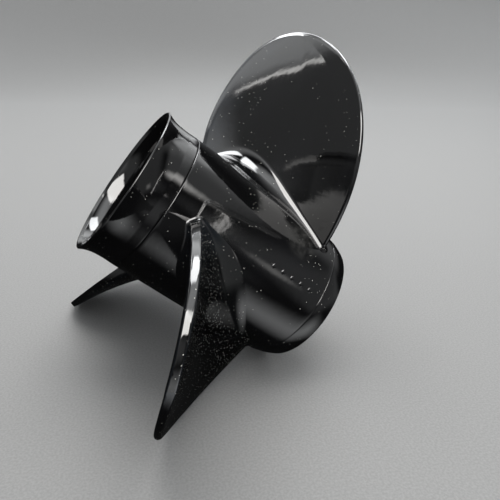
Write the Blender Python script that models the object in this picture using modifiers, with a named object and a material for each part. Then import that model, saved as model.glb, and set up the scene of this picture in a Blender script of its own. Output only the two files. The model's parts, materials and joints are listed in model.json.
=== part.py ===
"""Propeller of a small outboard motor, lying on a level floor on two blades and its front rim.

A black cast wheel with three right-handed blades. The exhaust leaves through the hub, between an
outer barrel and an inner hub that three webs carry. A rubber bush is pressed into the inner hub and
holds the splined sleeve that fits the shaft, and a flared diffuser ring is pressed into the rear end.

Every piece is first made round the shaft's axis, which is local +Z from the front end at 0 to the
rear end, and hangs on one empty. Last, that empty is turned and moved so that the propeller lies on
the floor as it would by itself. All lengths are in metres.
"""
import math

import bmesh
import bpy
from mathutils import Matrix, Vector

# Barrel, along the shaft from its front end
BARREL_RADIUS = 0.0400
BARREL_BULGE = 0.00056
BARREL_LENGTH = 0.1064
BULGE_SKEW = 0.61
NOSE_LENGTH = 0.0112
NOSE_RADIUS = 0.0367
NOSE_STEP = 0.0004
BORE_FRONT_RADIUS = 0.0349
BORE_REAR_RADIUS = 0.0364

# Diffuser ring
RIM_RADIUS = 0.04245
RIM_PLANE = 0.1263
RIM_LIP = 0.0014
FLARE_START = 0.1120
WAIST_RADIUS = 0.0397
RING_WALL = 0.0026
SPIGOT_LENGTH = 0.0090
SPIGOT_WALL = 0.0022

# Inner hub, rubber bush and splined sleeve
INNER_HUB_RADIUS = 0.0260
INNER_HUB_BORE = 0.0215
INNER_HUB_FRONT = 0.0060
INNER_HUB_REAR = 0.0840
INNER_HUB_CHAMFER = 0.0015
BUSH_FRONT = 0.0100
BUSH_REAR = 0.0800
BUSH_DISH = 0.0020
SLEEVE_RADIUS = 0.0123
SLEEVE_FRONT = 0.0040
SLEEVE_REAR = 0.0860
SPLINE_ROOT_RADIUS = 0.0097
SPLINE_TIP_RADIUS = 0.0084
SPLINE_TEETH = 12

# Webs
WEB_COUNT = 3
WEB_THICKNESS = 0.0046
WEB_FRONT = 0.0140
WEB_REAR = 0.0780
WEB_TURN = math.radians(-75.0)

# Blades: a true screw surface with rake, cut to a skewed oval
BLADE_COUNT = 3
TIP_RADIUS = 0.1286
PITCH = 0.3464
RAKE_SLOPE = 0.358
RAKE_CURVE = -1.375
BLADE_TURN = math.radians(-135.0)
BLADE_STATION = 0.0582
HALF_ANGLE = math.radians(37.6)
OUTLINE_ROUNDNESS = 1.738
OUTLINE_FULLNESS = 0.52
SKEW_ROOT = math.radians(-2.6)
SKEW_TIP = math.radians(10.8)
SKEW_POWER = 3.47
EDGE_ROOT = 0.0058
EDGE_TIP = 0.0038
CORE_ROOT = 0.0088
CORE_TIP = 0.0042
LEADING_SHARE = 0.62
TRAILING_ROUND = 0.0009
ROOT_FILLET = 0.0085
END_FILLET = 0.0028
FILLET_LIP = 0.0006

# Seats: what touches in the real propeller keeps this gap here
SEAT_GAP = 0.0003

# Fineness of the solids
BARREL_STEPS = 64
TUBE_STEPS = 40
BARREL_STATIONS = 12
NOSE_STATIONS = 4
FLARE_STATIONS = 5
CHORD_STATIONS = 10
BLADE_STATIONS = 11
FILLET_ANGLES = (0.0, 30.0, 60.0, 90.0)
EDGE_ANGLES = (0.0, 45.0, 90.0)
FOOT_ROWS = 6


def make_material(name, colour, roughness, metallic):
    """A Principled BSDF of one colour, for one finish of the propeller."""
    material = bpy.data.materials.new(name)
    material.use_nodes = True
    shader = material.node_tree.nodes["Principled BSDF"]
    shader.inputs["Base Color"].default_value = (*colour, 1.0)
    shader.inputs["Roughness"].default_value = roughness
    shader.inputs["Metallic"].default_value = metallic
    return material


def add_object(name, mesh, material, collection, carrier):
    """Give a finished mesh its object, its finish and its place on the shaft's axis."""
    piece = bpy.data.objects.new(name, mesh)
    piece.data.materials.append(material)
    piece.parent = carrier
    collection.objects.link(piece)
    return piece


def spread(first, last, count):
    """Evenly spaced numbers from first to last, both included."""
    return [first + (last - first) * i / (count - 1) for i in range(count)]


def turned(name, outline, steps, material, collection, carrier):
    """A ring turned from a closed outline of (radius, station), given down its outer side first."""
    mesh = bpy.data.meshes.new(name)
    shape = bmesh.new()
    corners = [shape.verts.new((radius, 0.0, station)) for radius, station in outline]
    for corner, following in zip(corners, corners[1:] + corners[:1]):
        shape.edges.new((corner, following))
    shape.to_mesh(mesh)
    shape.free()
    piece = add_object(name, mesh, material, collection, carrier)
    screw = piece.modifiers.new("turn", "SCREW")
    screw.axis = "Z"
    screw.angle = 2.0 * math.pi
    screw.steps = steps
    screw.render_steps = steps
    screw.use_merge_vertices = True
    screw.merge_threshold = 0.00001
    screw.use_smooth_shade = True
    return piece


def barrel_radius(station):
    """Outer radius of the barrel: a faint bulge, fullest about a third of the way back."""
    along = (station - NOSE_LENGTH) / (BARREL_LENGTH - NOSE_LENGTH)
    along = min(max(along, 0.0), 1.0)
    return BARREL_RADIUS + BARREL_BULGE * math.sin(math.pi * along ** BULGE_SKEW)


def nose_radius(station):
    """Outer radius of the nose band, which rounds in to the front rim."""
    top = BARREL_RADIUS - NOSE_STEP
    return NOSE_RADIUS + (top - NOSE_RADIUS) * math.sin(0.5 * math.pi * station / NOSE_LENGTH)


def bore_radius(station):
    """Inner radius of the barrel, which opens towards the rear as a casting's core does."""
    return BORE_FRONT_RADIUS + (BORE_REAR_RADIUS - BORE_FRONT_RADIUS) * station / BARREL_LENGTH


def flare_radius(station):
    """Outer radius of the diffuser ring, from its seam over the waist to the flared rim."""
    if station < FLARE_START:
        along = (station - BARREL_LENGTH) / (FLARE_START - BARREL_LENGTH)
        return BARREL_RADIUS + (WAIST_RADIUS - BARREL_RADIUS) * along
    along = (station - FLARE_START) / (RIM_PLANE - FLARE_START)
    return WAIST_RADIUS + (RIM_RADIUS - WAIST_RADIUS) * along ** 3


def make_barrel(material, collection, carrier):
    """The outer barrel, with a small step behind the nose band."""
    rear = spread(BARREL_LENGTH, NOSE_LENGTH + NOSE_STEP, BARREL_STATIONS)
    front = spread(NOSE_LENGTH, 0.0, NOSE_STATIONS)
    outline = [(barrel_radius(station), station) for station in rear]
    outline += [(nose_radius(station), station) for station in front]
    outline += [(bore_radius(station), station) for station in (0.0, BARREL_LENGTH)]
    return turned("hub_barrel", outline, BARREL_STEPS, material, collection, carrier)


def make_diffuser_ring(material, collection, carrier):
    """The flared ring: its spigot sits inside the barrel, its shoulder against the barrel's end."""
    seam = BARREL_LENGTH + SEAT_GAP
    outer = [seam] + spread(FLARE_START, RIM_PLANE, FLARE_STATIONS)
    outline = [(flare_radius(station), station) for station in reversed(outer)]
    spigot_radius = bore_radius(BARREL_LENGTH - SPIGOT_LENGTH) - SEAT_GAP
    bore = spigot_radius - SPIGOT_WALL
    outline += [(spigot_radius, seam), (spigot_radius, seam - SPIGOT_LENGTH), (bore, seam - SPIGOT_LENGTH)]
    outline += [(bore, seam)]
    inner = spread(FLARE_START, RIM_PLANE - RIM_LIP, FLARE_STATIONS)
    outline += [(flare_radius(station) - RING_WALL, station) for station in inner]
    outline += [(RIM_RADIUS - RIM_LIP, RIM_PLANE)]
    return turned("diffuser_ring", outline, BARREL_STEPS, material, collection, carrier)


def make_inner_hub(material, collection, carrier):
    """The tube inside the barrel that the rubber bush is pressed into."""
    chamfer = INNER_HUB_CHAMFER
    outline = [
        (INNER_HUB_RADIUS - chamfer, INNER_HUB_REAR),
        (INNER_HUB_RADIUS, INNER_HUB_REAR - chamfer),
        (INNER_HUB_RADIUS, INNER_HUB_FRONT + chamfer),
        (INNER_HUB_RADIUS - chamfer, INNER_HUB_FRONT),
        (INNER_HUB_BORE, INNER_HUB_FRONT),
        (INNER_HUB_BORE, INNER_HUB_REAR),
    ]
    return turned("inner_hub", outline, TUBE_STEPS, material, collection, carrier)


def make_bush(material, collection, carrier):
    """The rubber bush, whose ends are dished between the hub and the sleeve."""
    outside = INNER_HUB_BORE - SEAT_GAP
    inside = SLEEVE_RADIUS + SEAT_GAP
    middle = 0.5 * (outside + inside)
    outline = [
        (outside, BUSH_REAR),
        (outside, BUSH_FRONT),
        (middle, BUSH_FRONT + BUSH_DISH),
        (inside, BUSH_FRONT),
        (inside, BUSH_REAR),
        (middle, BUSH_REAR - BUSH_DISH),
    ]
    return turned("rubber_bush", outline, TUBE_STEPS, material, collection, carrier)


def circle_points(radius, count):
    """Points round the axis, for a plain round outline."""
    angles = [2.0 * math.pi * i / count for i in range(count)]
    return [(radius * math.cos(angle), radius * math.sin(angle)) for angle in angles]


def spline_points():
    """Points round the splined bore: each tooth is a flat tip, a flank, a flat root and a flank."""
    corners = ((-0.38, SPLINE_ROOT_RADIUS), (-0.17, SPLINE_TIP_RADIUS),
               (0.17, SPLINE_TIP_RADIUS), (0.38, SPLINE_ROOT_RADIUS))
    points = []
    for tooth in range(SPLINE_TEETH):
        for share, radius in corners:
            angle = 2.0 * math.pi * (tooth + share) / SPLINE_TEETH
            points.append((radius * math.cos(angle), radius * math.sin(angle)))
    return points


def make_sleeve(material, collection, carrier):
    """The splined sleeve: a flat outline with a toothed hole, as long as the sleeve."""
    curve = bpy.data.curves.new("spline_sleeve", "CURVE")
    curve.dimensions = "2D"
    curve.fill_mode = "BOTH"
    curve.extrude = 0.5 * (SLEEVE_REAR - SLEEVE_FRONT)
    for points in (circle_points(SLEEVE_RADIUS, TUBE_STEPS), spline_points()):
        spline = curve.splines.new("POLY")
        spline.points.add(len(points) - 1)
        for corner, (x, y) in zip(spline.points, points):
            corner.co = (x, y, 0.0, 1.0)
        spline.use_cyclic_u = True
    sleeve = add_object("spline_sleeve", curve, material, collection, carrier)
    sleeve.location = (0.0, 0.0, 0.5 * (SLEEVE_FRONT + SLEEVE_REAR))
    return sleeve


def make_web(number, material, collection, carrier):
    """One web: a flat plate along the shaft that reaches from the inner hub to the barrel's bore."""
    name = f"web_{number}"
    mesh = bpy.data.meshes.new(name)
    shape = bmesh.new()
    bmesh.ops.create_cube(shape, size=1.0)
    for corner in shape.verts:
        station = WEB_REAR if corner.co.z > 0.0 else WEB_FRONT
        outer = math.sqrt((bore_radius(station) - SEAT_GAP) ** 2 - (0.5 * WEB_THICKNESS) ** 2)
        inner = INNER_HUB_RADIUS + SEAT_GAP
        corner.co = (outer if corner.co.x > 0.0 else inner, corner.co.y * WEB_THICKNESS, station)
    shape.to_mesh(mesh)
    shape.free()
    web = add_object(name, mesh, material, collection, carrier)
    web.rotation_euler = (0.0, 0.0, WEB_TURN + 2.0 * math.pi * (number - 1) / WEB_COUNT)
    return web


def ease(start, end, share):
    """A value that goes evenly from start to end as share goes from 0 to 1."""
    return start + (end - start) * share


def edge_round(distance, radius):
    """Height of a round edge, from 0 at the edge itself to 1 where the round ends."""
    inside = min(distance, radius) / radius
    return math.sqrt(max(0.0, 1.0 - (1.0 - inside) ** 2))


def blade_point(share, across, lift):
    """A point of the blade on the barrel's cylinders, before the blade is turned to its place.

    share is the height, 0 at the root and 1 at the tip. across and lift are lengths on the cylinder
    at that height: along the screw line towards the trailing edge, and square to it towards the rear.
    """
    height = TIP_RADIUS - BARREL_RADIUS
    radius = ease(BARREL_RADIUS, TIP_RADIUS, share)
    slope = PITCH / (2.0 * math.pi * radius)
    run = 1.0 / math.hypot(1.0, slope)
    rise = slope * run
    skew = SKEW_ROOT + SKEW_TIP * share ** SKEW_POWER
    rise_over_barrel = share * height
    rake = RAKE_SLOPE * rise_over_barrel + RAKE_CURVE * rise_over_barrel ** 2
    turn = skew + (across * run - lift * rise) / radius
    station = BLADE_STATION + PITCH * skew / (2.0 * math.pi) + rake + across * rise + lift * run
    radius += (barrel_radius(station) - BARREL_RADIUS) * (1.0 - share) + SEAT_GAP * (1.0 - share)
    angle = BLADE_TURN + turn
    return Vector((radius * math.cos(angle), radius * math.sin(angle), station))


def half_chord(share):
    """Half the blade's width along the screw line, at this height."""
    radius = ease(BARREL_RADIUS, TIP_RADIUS, share)
    slope = PITCH / (2.0 * math.pi * radius)
    angle = HALF_ANGLE * (1.0 - share ** OUTLINE_ROUNDNESS) ** OUTLINE_FULLNESS
    return radius * angle * math.hypot(1.0, slope)


def edge_height(distance, half, edge):
    """Half the section's thickness: a thin round leading edge, and a square-cut trailing edge."""
    if distance > half:
        corner = min(TRAILING_ROUND, edge)
        return edge - corner + corner * edge_round(2.0 * half - distance, corner)
    radius = edge * ease(LEADING_SHARE, 1.0, max(2.0 * distance / half - 1.0, 0.0))
    return radius * edge_round(distance, radius)


def section(share):
    """The blade's section at one height, as one closed outline of (across, lift).

    It runs over the flat rear face from the leading edge to the trailing edge, and back over the
    crowned front face. Point i of the rear face lies opposite point -i.
    """
    half = half_chord(share)
    edge = min(0.5 * ease(EDGE_ROOT, EDGE_TIP, share), 0.9 * half)
    crown = max(ease(CORE_ROOT, CORE_TIP, share) - 2.0 * edge, 0.0)
    corner = min(TRAILING_ROUND, edge)
    leading = [LEADING_SHARE * edge * (1.0 - math.cos(math.radians(angle))) for angle in EDGE_ANGLES]
    trailing = [corner * (1.0 - math.cos(math.radians(angle))) for angle in EDGE_ANGLES]
    inner = spread(leading[-1], 2.0 * half - trailing[-1], CHORD_STATIONS)[1:-1]
    distances = leading + inner + [2.0 * half - end for end in reversed(trailing)]
    rear = []
    front = []
    for distance in distances:
        along = distance / (2.0 * half)
        height = edge_height(distance, half, edge)
        fullness = max(0.0, 4.0 * along * (1.0 - along))
        rear.append((distance - half, height))
        front.append((distance - half, -height - crown * fullness))
    return rear + front[:0:-1]


def widened(outline, side, end):
    """The outline moved outwards all round: by side on the faces and by end at the two edges."""
    moved = []
    count = len(outline)
    for i, (across, lift) in enumerate(outline):
        before = outline[i - 1]
        after = outline[(i + 1) % count]
        out = Vector((before[1] - after[1], after[0] - before[0])).normalized()
        moved.append((across + end * out.x, lift + side * out.y))
    return moved


def fillet_heights():
    """Heights in the root fillet, as (share, side reach, end reach), from the barrel upwards."""
    height = TIP_RADIUS - BARREL_RADIUS
    heights = []
    for angle in FILLET_ANGLES:
        turn = math.radians(angle)
        share = (FILLET_LIP + ROOT_FILLET * (1.0 - math.cos(turn))) / height
        reach = 1.0 - math.sin(turn)
        heights.append((share, ROOT_FILLET * reach, END_FILLET * reach))
    return heights


def make_blade(number, material, collection, carrier):
    """One blade, lofted through its sections, with a foot that follows the barrel."""
    name = f"blade_{number}"
    mesh = bpy.data.meshes.new(name)
    shape = bmesh.new()
    heights = fillet_heights()
    root_share = heights[-1][0]
    for step in range(1, BLADE_STATIONS):
        share = root_share + (1.0 - root_share) * math.sin(0.5 * math.pi * step / BLADE_STATIONS)
        heights.append((share, 0.0, 0.0))

    rings = []
    for share, side, end in heights:
        outline = widened(section(share), side, end)
        rings.append([shape.verts.new(blade_point(share, across, lift)) for across, lift in outline])
    for lower, upper in zip(rings, rings[1:]):
        for i, corner in enumerate(lower):
            j = (i + 1) % len(lower)
            shape.faces.new((corner, lower[j], upper[j], upper[i]))
    add_rows(shape, [[rings[-1][i], rings[-1][-i]] for i in range(len(rings[-1]) // 2 + 1)])
    foot = foot_columns(shape, rings[0], heights[0])
    add_rows(shape, foot)
    shape.faces.new(foot[-1])
    bmesh.ops.recalc_face_normals(shape, faces=shape.faces)
    shape.to_mesh(mesh)
    shape.free()
    mesh.shade_smooth()
    mesh.set_sharp_from_angle(angle=math.radians(50.0))
    blade = add_object(name, mesh, material, collection, carrier)
    blade.rotation_euler = (0.0, 0.0, 2.0 * math.pi * (number - 1) / BLADE_COUNT)
    return blade


def foot_columns(shape, ring, root):
    """Columns of corners under the blade, at the seat's gap from the round barrel."""
    share, side, end = root
    outline = widened(section(share), side, end)
    columns = []
    for i in range(len(ring) // 2 + 1):
        rear = outline[i]
        front = outline[-i]
        column = [ring[i]]
        for row in range(FOOT_ROWS + 1):
            part = row / FOOT_ROWS
            across = ease(rear[0], front[0], part)
            lift = ease(rear[1], front[1], part)
            column.append(shape.verts.new(blade_point(0.0, across, lift)))
            if i == 0:
                column += [column[-1]] * FOOT_ROWS
                break
        column.append(ring[-i])
        columns.append(column)
    return columns


def add_rows(shape, columns):
    """Faces between neighbouring columns of corners, which may meet in one corner at their ends."""
    for column, following in zip(columns, columns[1:]):
        for row in range(len(column) - 1):
            corners = [column[row], following[row], following[row + 1], column[row + 1]]
            distinct = [corner for k, corner in enumerate(corners) if corner not in corners[:k]]
            if len(distinct) > 2:
                shape.faces.new(distinct)


def world_points(pieces):
    """Every corner of the finished pieces, as the modifiers leave them."""
    graph = bpy.context.evaluated_depsgraph_get()
    points = []
    for piece in pieces:
        finished = piece.evaluated_get(graph)
        mesh = finished.to_mesh()
        points += [piece.matrix_world @ corner.co for corner in mesh.vertices]
        finished.to_mesh_clear()
    return points


def floor_normal(groups):
    """The way up when one point of each of three pieces touches the floor."""
    up = Vector((0.72, -0.36, 0.60))
    middle = Vector((0.0, 0.0, 0.5 * BARREL_LENGTH))
    for _ in range(20):
        feet = [min(points, key=lambda point: point.dot(up)) for points in groups]
        normal = (feet[1] - feet[0]).cross(feet[2] - feet[0]).normalized()
        if normal.dot(middle - feet[0]) < 0.0:
            normal.negate()
        if (normal - up).length < 1e-9:
            break
        up = normal
    return up


def lay_down(carrier, pieces):
    """Turn the whole propeller until it lies on blade 1, blade 3 and the barrel's front rim.

    Afterwards +X runs along the floor from the rear end to the front end, and the origin is on the
    floor, under the middle of the propeller's box.
    """
    bpy.context.view_layer.update()
    feet = ("blade_1", "blade_3", "hub_barrel")
    up = floor_normal([world_points([piece for piece in pieces if piece.name == foot]) for foot in feet])
    forward = Vector((0.0, 0.0, -1.0))
    forward = (forward - up * forward.dot(up)).normalized()
    turn = Matrix((forward, up.cross(forward), up)).to_4x4()
    carrier.matrix_world = turn
    bpy.context.view_layer.update()
    points = world_points(pieces)
    low = [min(point[i] for point in points) for i in range(3)]
    high = [max(point[i] for point in points) for i in range(3)]
    shift = Vector((-0.5 * (low[0] + high[0]), -0.5 * (low[1] + high[1]), -low[2]))
    carrier.matrix_world = Matrix.Translation(shift) @ turn
    bpy.context.view_layer.update()


def main():
    for existing in list(bpy.data.objects):
        bpy.data.objects.remove(existing, do_unlink=True)
    collection = bpy.data.collections.new("propeller")
    bpy.context.scene.collection.children.link(collection)
    carrier = bpy.data.objects.new("shaft_axis", None)
    collection.objects.link(carrier)

    paint = make_material("gloss_black_paint", (0.012, 0.012, 0.013), 0.12, 0.0)
    rubber = make_material("black_rubber", (0.03, 0.03, 0.03), 0.7, 0.0)
    brass = make_material("sleeve_brass", (0.60, 0.45, 0.22), 0.35, 1.0)

    pieces = [make_barrel(paint, collection, carrier)]
    pieces += [make_blade(number, paint, collection, carrier) for number in range(1, BLADE_COUNT + 1)]
    pieces += [make_web(number, paint, collection, carrier) for number in range(1, WEB_COUNT + 1)]
    pieces.append(make_inner_hub(paint, collection, carrier))
    pieces.append(make_bush(rubber, collection, carrier))
    pieces.append(make_sleeve(brass, collection, carrier))
    pieces.append(make_diffuser_ring(paint, collection, carrier))
    lay_down(carrier, pieces)


main()
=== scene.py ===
# %% [markdown]
# # A small outboard propeller in gloss black paint
#
# This file is a lesson in cells. It dresses a imported model of a propeller: the imported solids say
# where everything is and how large it is, and the cells below make the surfaces that are seen.
# The first cell loads the imported model as a fixed frame.

# %% Load the imported model
import json
import math

import bmesh
import bpy
from mathutils import Matrix, Vector
from mathutils.kdtree import KDTree


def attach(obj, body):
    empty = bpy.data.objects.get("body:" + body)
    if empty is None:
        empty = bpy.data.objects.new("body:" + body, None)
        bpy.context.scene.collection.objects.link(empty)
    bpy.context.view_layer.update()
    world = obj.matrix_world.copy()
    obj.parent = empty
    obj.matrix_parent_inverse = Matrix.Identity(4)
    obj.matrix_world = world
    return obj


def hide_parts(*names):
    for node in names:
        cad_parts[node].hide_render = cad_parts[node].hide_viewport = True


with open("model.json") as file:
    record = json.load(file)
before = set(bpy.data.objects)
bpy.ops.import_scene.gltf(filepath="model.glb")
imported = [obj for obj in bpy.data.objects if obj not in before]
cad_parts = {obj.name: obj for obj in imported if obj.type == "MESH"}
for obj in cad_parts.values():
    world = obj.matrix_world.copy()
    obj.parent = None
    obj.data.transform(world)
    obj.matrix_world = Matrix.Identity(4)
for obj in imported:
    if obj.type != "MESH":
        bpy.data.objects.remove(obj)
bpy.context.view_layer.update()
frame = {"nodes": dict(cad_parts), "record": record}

print("pieces in the frame:", sorted(frame["nodes"]))

# %% [markdown]
# ## The shaft's frame
#
# A propeller is easiest to draw round its own shaft, with the shaft along Z, the front end at 0
# and the rear end further up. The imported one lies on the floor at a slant. The mount on its front
# end gives the direction of the shaft, the middle of the splined sleeve lies on the shaft, and
# the first web tells how far the propeller is turned. One matrix made of these takes every point
# from the drawing to its place.

# %% Find the shaft in the frame
SLEEVE_FRONT = 0.0040
WEB_TURN = math.radians(-75.0)


def middle_of(node):
    """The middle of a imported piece's skin, each face counted by its area."""
    mesh = frame["nodes"][node].data
    whole = sum(face.area for face in mesh.polygons)
    return sum((face.center * face.area for face in mesh.polygons), Vector()) / whole


def find_shaft():
    """The matrix from the drawing round Z to the frame."""
    front = next(mount for mount in frame["record"]["mounts"] if mount["name"] == "front_end")
    along = -Vector(front["axis"]).normalized()
    centre = middle_of("spline_sleeve")
    start = centre + along * (Vector(front["pos_m"]) - centre).dot(along) - along * SLEEVE_FRONT
    to_web = middle_of("web_1") - start
    to_web = (to_web - along * to_web.dot(along)).normalized()
    side = Matrix.Rotation(-WEB_TURN, 3, along) @ to_web
    turn = Matrix((side, along.cross(side), along)).transposed().to_4x4()
    return Matrix.Translation(start) @ turn


SHAFT = find_shaft()
print("the shaft starts at", [round(value, 4) for value in SHAFT.translation])


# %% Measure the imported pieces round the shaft
def measure(node):
    """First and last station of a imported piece, and its smallest and largest radius."""
    points = [SHAFT.inverted() @ corner.co for corner in frame["nodes"][node].data.vertices]
    stations = [point.z for point in points]
    radii = [math.hypot(point.x, point.y) for point in points]
    return min(stations), max(stations), min(radii), max(radii)


BARREL_LENGTH = round(measure("hub_barrel")[1], 4)
RIM_PLANE = round(measure("diffuser_ring")[1], 4)
RIM_RADIUS = round(measure("diffuser_ring")[3], 5)
TIP_RADIUS = round(measure("blade_1")[3], 4)
print("barrel", BARREL_LENGTH, "rim at", RIM_PLANE, "rim radius", RIM_RADIUS, "tip radius", TIP_RADIUS)

# %% [markdown]
# ## Helpers for meshes
#
# Nearly every piece of a propeller is a skin over rows of points: a turned piece is one outline
# repeated round the shaft, and a blade is one section repeated from its root to its tip. So one
# helper makes a mesh from rows, and another rounds the corners of an outline, because no edge of
# a casting is sharp and it is the rounded edges that catch the light.

# %% Make a mesh from rows of points
def skin(name, rows, wrap):
    """A mesh over rows of points. Each row is a closed loop, and wrap joins the last to the first."""
    count = len(rows[0])
    points = [point for row in rows for point in row]
    faces = []
    for i in range(len(rows) if wrap else len(rows) - 1):
        this = i * count
        following = (i + 1) % len(rows) * count
        for j in range(count):
            k = (j + 1) % count
            faces.append((this + j, this + k, following + k, following + j))
    mesh = bpy.data.meshes.new(name)
    mesh.from_pydata(points, [], faces)
    return mesh


def close_up(mesh, sharp_degrees):
    """Merge doubled points, turn the faces outwards and shade all but the sharp edges smooth."""
    shape = bmesh.new()
    shape.from_mesh(mesh)
    bmesh.ops.remove_doubles(shape, verts=shape.verts, dist=0.000002)
    bmesh.ops.recalc_face_normals(shape, faces=shape.faces)
    shape.to_mesh(mesh)
    shape.free()
    mesh.shade_smooth()
    mesh.set_sharp_from_angle(angle=math.radians(sharp_degrees))
    return mesh


# %% Round the corners of an outline
def rounded(corners, steps=6):
    """A closed outline from corners (radius, station, rounding), with an arc in each round corner."""
    points = []
    for i, (x, y, rounding) in enumerate(corners):
        corner = Vector((x, y))
        if rounding == 0.0:
            points.append(corner)
            continue
        before = (Vector(corners[i - 1][:2]) - corner).normalized()
        after = (Vector(corners[(i + 1) % len(corners)][:2]) - corner).normalized()
        half = 0.5 * before.angle(after)
        centre = corner + (before + after).normalized() * rounding / math.sin(half)
        first = corner + before * rounding / math.tan(half) - centre
        last = corner + after * rounding / math.tan(half) - centre
        sweep = first.angle_signed(last)
        for step in range(steps + 1):
            points.append(centre + Matrix.Rotation(-sweep * step / steps, 2) @ first)
    return points


def turned(name, outline, steps):
    """A turned piece: an outline of (radius, station) repeated round the shaft."""
    rows = []
    for step in range(steps):
        angle = 2.0 * math.pi * step / steps
        rows.append([(radius * math.cos(angle), radius * math.sin(angle), station)
                     for radius, station in outline])
    return skin(name, rows, wrap=True)


def spread(first, last, count):
    """Evenly spaced numbers from first to last, both included."""
    return [first + (last - first) * i / (count - 1) for i in range(count)]


# %% Put a finished mesh in its place
def place(name, mesh, materials, nodes, sharp_degrees=35.0):
    """Close a mesh made round the shaft, lay it in the frame and let it stand for its CAD nodes."""
    close_up(mesh, sharp_degrees)
    mesh.transform(SHAFT)
    mesh.materials.clear()
    for material in materials:
        mesh.materials.append(material)
    piece = bpy.data.objects.new(name, mesh)
    bpy.context.scene.collection.objects.link(piece)
    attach(piece, "root")
    if nodes:
        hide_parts(*nodes)
    print(name, "has", len(mesh.polygons), "faces")
    return piece


# %% [markdown]
# ## Shader groups that the finishes share
#
# Three things happen on every surface here. Dust settles on what faces up. Sprayed paint dries
# with a faint orange peel, which makes reflections ripple. And hands leave dull smears. Each is
# built once, as a node group with named inputs, and then used with other numbers in each
# material. All three read Object coordinates, so they stick to the piece from every side.

# %% Start a shader group
def new_group(name, inputs, outputs):
    """An empty shader node group with float inputs and the given outputs, and its two ends."""
    group = bpy.data.node_groups.new(name, "ShaderNodeTree")
    for label, value in inputs:
        socket = group.interface.new_socket(label, in_out="INPUT", socket_type="NodeSocketFloat")
        socket.default_value = value
    for label, kind in outputs:
        group.interface.new_socket(label, in_out="OUTPUT", socket_type=kind)
    return group, group.nodes.new("NodeGroupInput"), group.nodes.new("NodeGroupOutput")


def math_node(tree, operation, first, second=None, third=None):
    """A Math node whose inputs are numbers or other nodes' outputs."""
    node = tree.nodes.new("ShaderNodeMath")
    node.operation = operation
    for socket, value in zip(node.inputs, (first, second, third)):
        if value is None:
            continue
        if isinstance(value, (int, float)):
            socket.default_value = value
        else:
            tree.links.new(value, socket)
    return node.outputs[0]


def noise_node(tree, vector, scale, detail):
    """A Noise texture on Object coordinates; scale may be another node's output."""
    noise = tree.nodes.new("ShaderNodeTexNoise")
    tree.links.new(vector, noise.inputs["Vector"])
    noise.inputs["Detail"].default_value = detail
    if isinstance(scale, (int, float)):
        noise.inputs["Scale"].default_value = scale
    else:
        tree.links.new(scale, noise.inputs["Scale"])
    return noise.outputs["Fac"]


def range_node(tree, value, low, high, to_low=0.0, to_high=1.0):
    """Stretch a value between two limits on to another range, and hold it there."""
    node = tree.nodes.new("ShaderNodeMapRange")
    for socket, given in zip(node.inputs, (value, low, high, to_low, to_high)):
        if isinstance(given, (int, float)):
            socket.default_value = given
        else:
            tree.links.new(given, socket)
    return node.outputs["Result"]


# %% Dust that settles on what faces up
def build_dust_group():
    """Small pale grains: a few cells of a fine Voronoi pattern, more of them where a face looks up."""
    group, start, end = new_group(
        "settled_dust",
        [("Grain Size", 0.0009), ("Amount", 0.06), ("Facing Up", 0.7)],
        [("Mask", "NodeSocketFloat")],
    )
    tree = group
    coords = tree.nodes.new("ShaderNodeTexCoord").outputs["Object"]
    cells = tree.nodes.new("ShaderNodeTexVoronoi")
    tree.links.new(coords, cells.inputs["Vector"])
    tree.links.new(math_node(tree, "DIVIDE", 1.0, start.outputs["Grain Size"]), cells.inputs["Scale"])
    chance = tree.nodes.new("ShaderNodeSeparateColor")
    tree.links.new(cells.outputs["Color"], chance.inputs["Color"])
    normal = tree.nodes.new("ShaderNodeNewGeometry").outputs["Normal"]
    up = tree.nodes.new("ShaderNodeSeparateXYZ")
    tree.links.new(normal, up.inputs["Vector"])
    upness = range_node(tree, up.outputs["Z"], -0.3, 1.0)
    lean = math_node(tree, "MULTIPLY_ADD", math_node(tree, "SUBTRACT", upness, 1.0),
                     start.outputs["Facing Up"], 1.0)
    drift = range_node(tree, noise_node(tree, coords, 28.0, 3.0), 0.40, 0.66, 0.25, 1.6)
    share = math_node(tree, "MULTIPLY", math_node(tree, "MULTIPLY", start.outputs["Amount"], lean), drift)
    chosen = math_node(tree, "LESS_THAN", chance.outputs["Red"], share)
    size = math_node(tree, "MULTIPLY_ADD", chance.outputs["Green"], 0.26, 0.10)
    grain = math_node(tree, "LESS_THAN", cells.outputs["Distance"], size)
    tree.links.new(math_node(tree, "MULTIPLY", chosen, grain), end.inputs["Mask"])
    return group


DUST = build_dust_group()
print("built", DUST.name)


# %% Orange peel in the paint
def build_peel_group():
    """The ripple of sprayed paint: long low waves with a finer skin on them, as a height."""
    group, start, end = new_group(
        "orange_peel",
        [("Wave Size", 0.006), ("Fine Share", 0.25), ("Swell", 1.0)],
        [("Height", "NodeSocketFloat")],
    )
    tree = group
    coords = tree.nodes.new("ShaderNodeTexCoord").outputs["Object"]
    scale = math_node(tree, "DIVIDE", 1.0, start.outputs["Wave Size"])
    long_waves = noise_node(tree, coords, scale, 1.0)
    fine = noise_node(tree, coords, math_node(tree, "MULTIPLY", scale, 5.0), 2.0)
    swell = noise_node(tree, coords, math_node(tree, "MULTIPLY", scale, 0.3), 0.0)
    height = math_node(tree, "MULTIPLY_ADD", fine, start.outputs["Fine Share"], long_waves)
    height = math_node(tree, "MULTIPLY_ADD", swell, start.outputs["Swell"], height)
    tree.links.new(height, end.inputs["Height"])
    return group


PEEL = build_peel_group()
print("built", PEEL.name)


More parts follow.
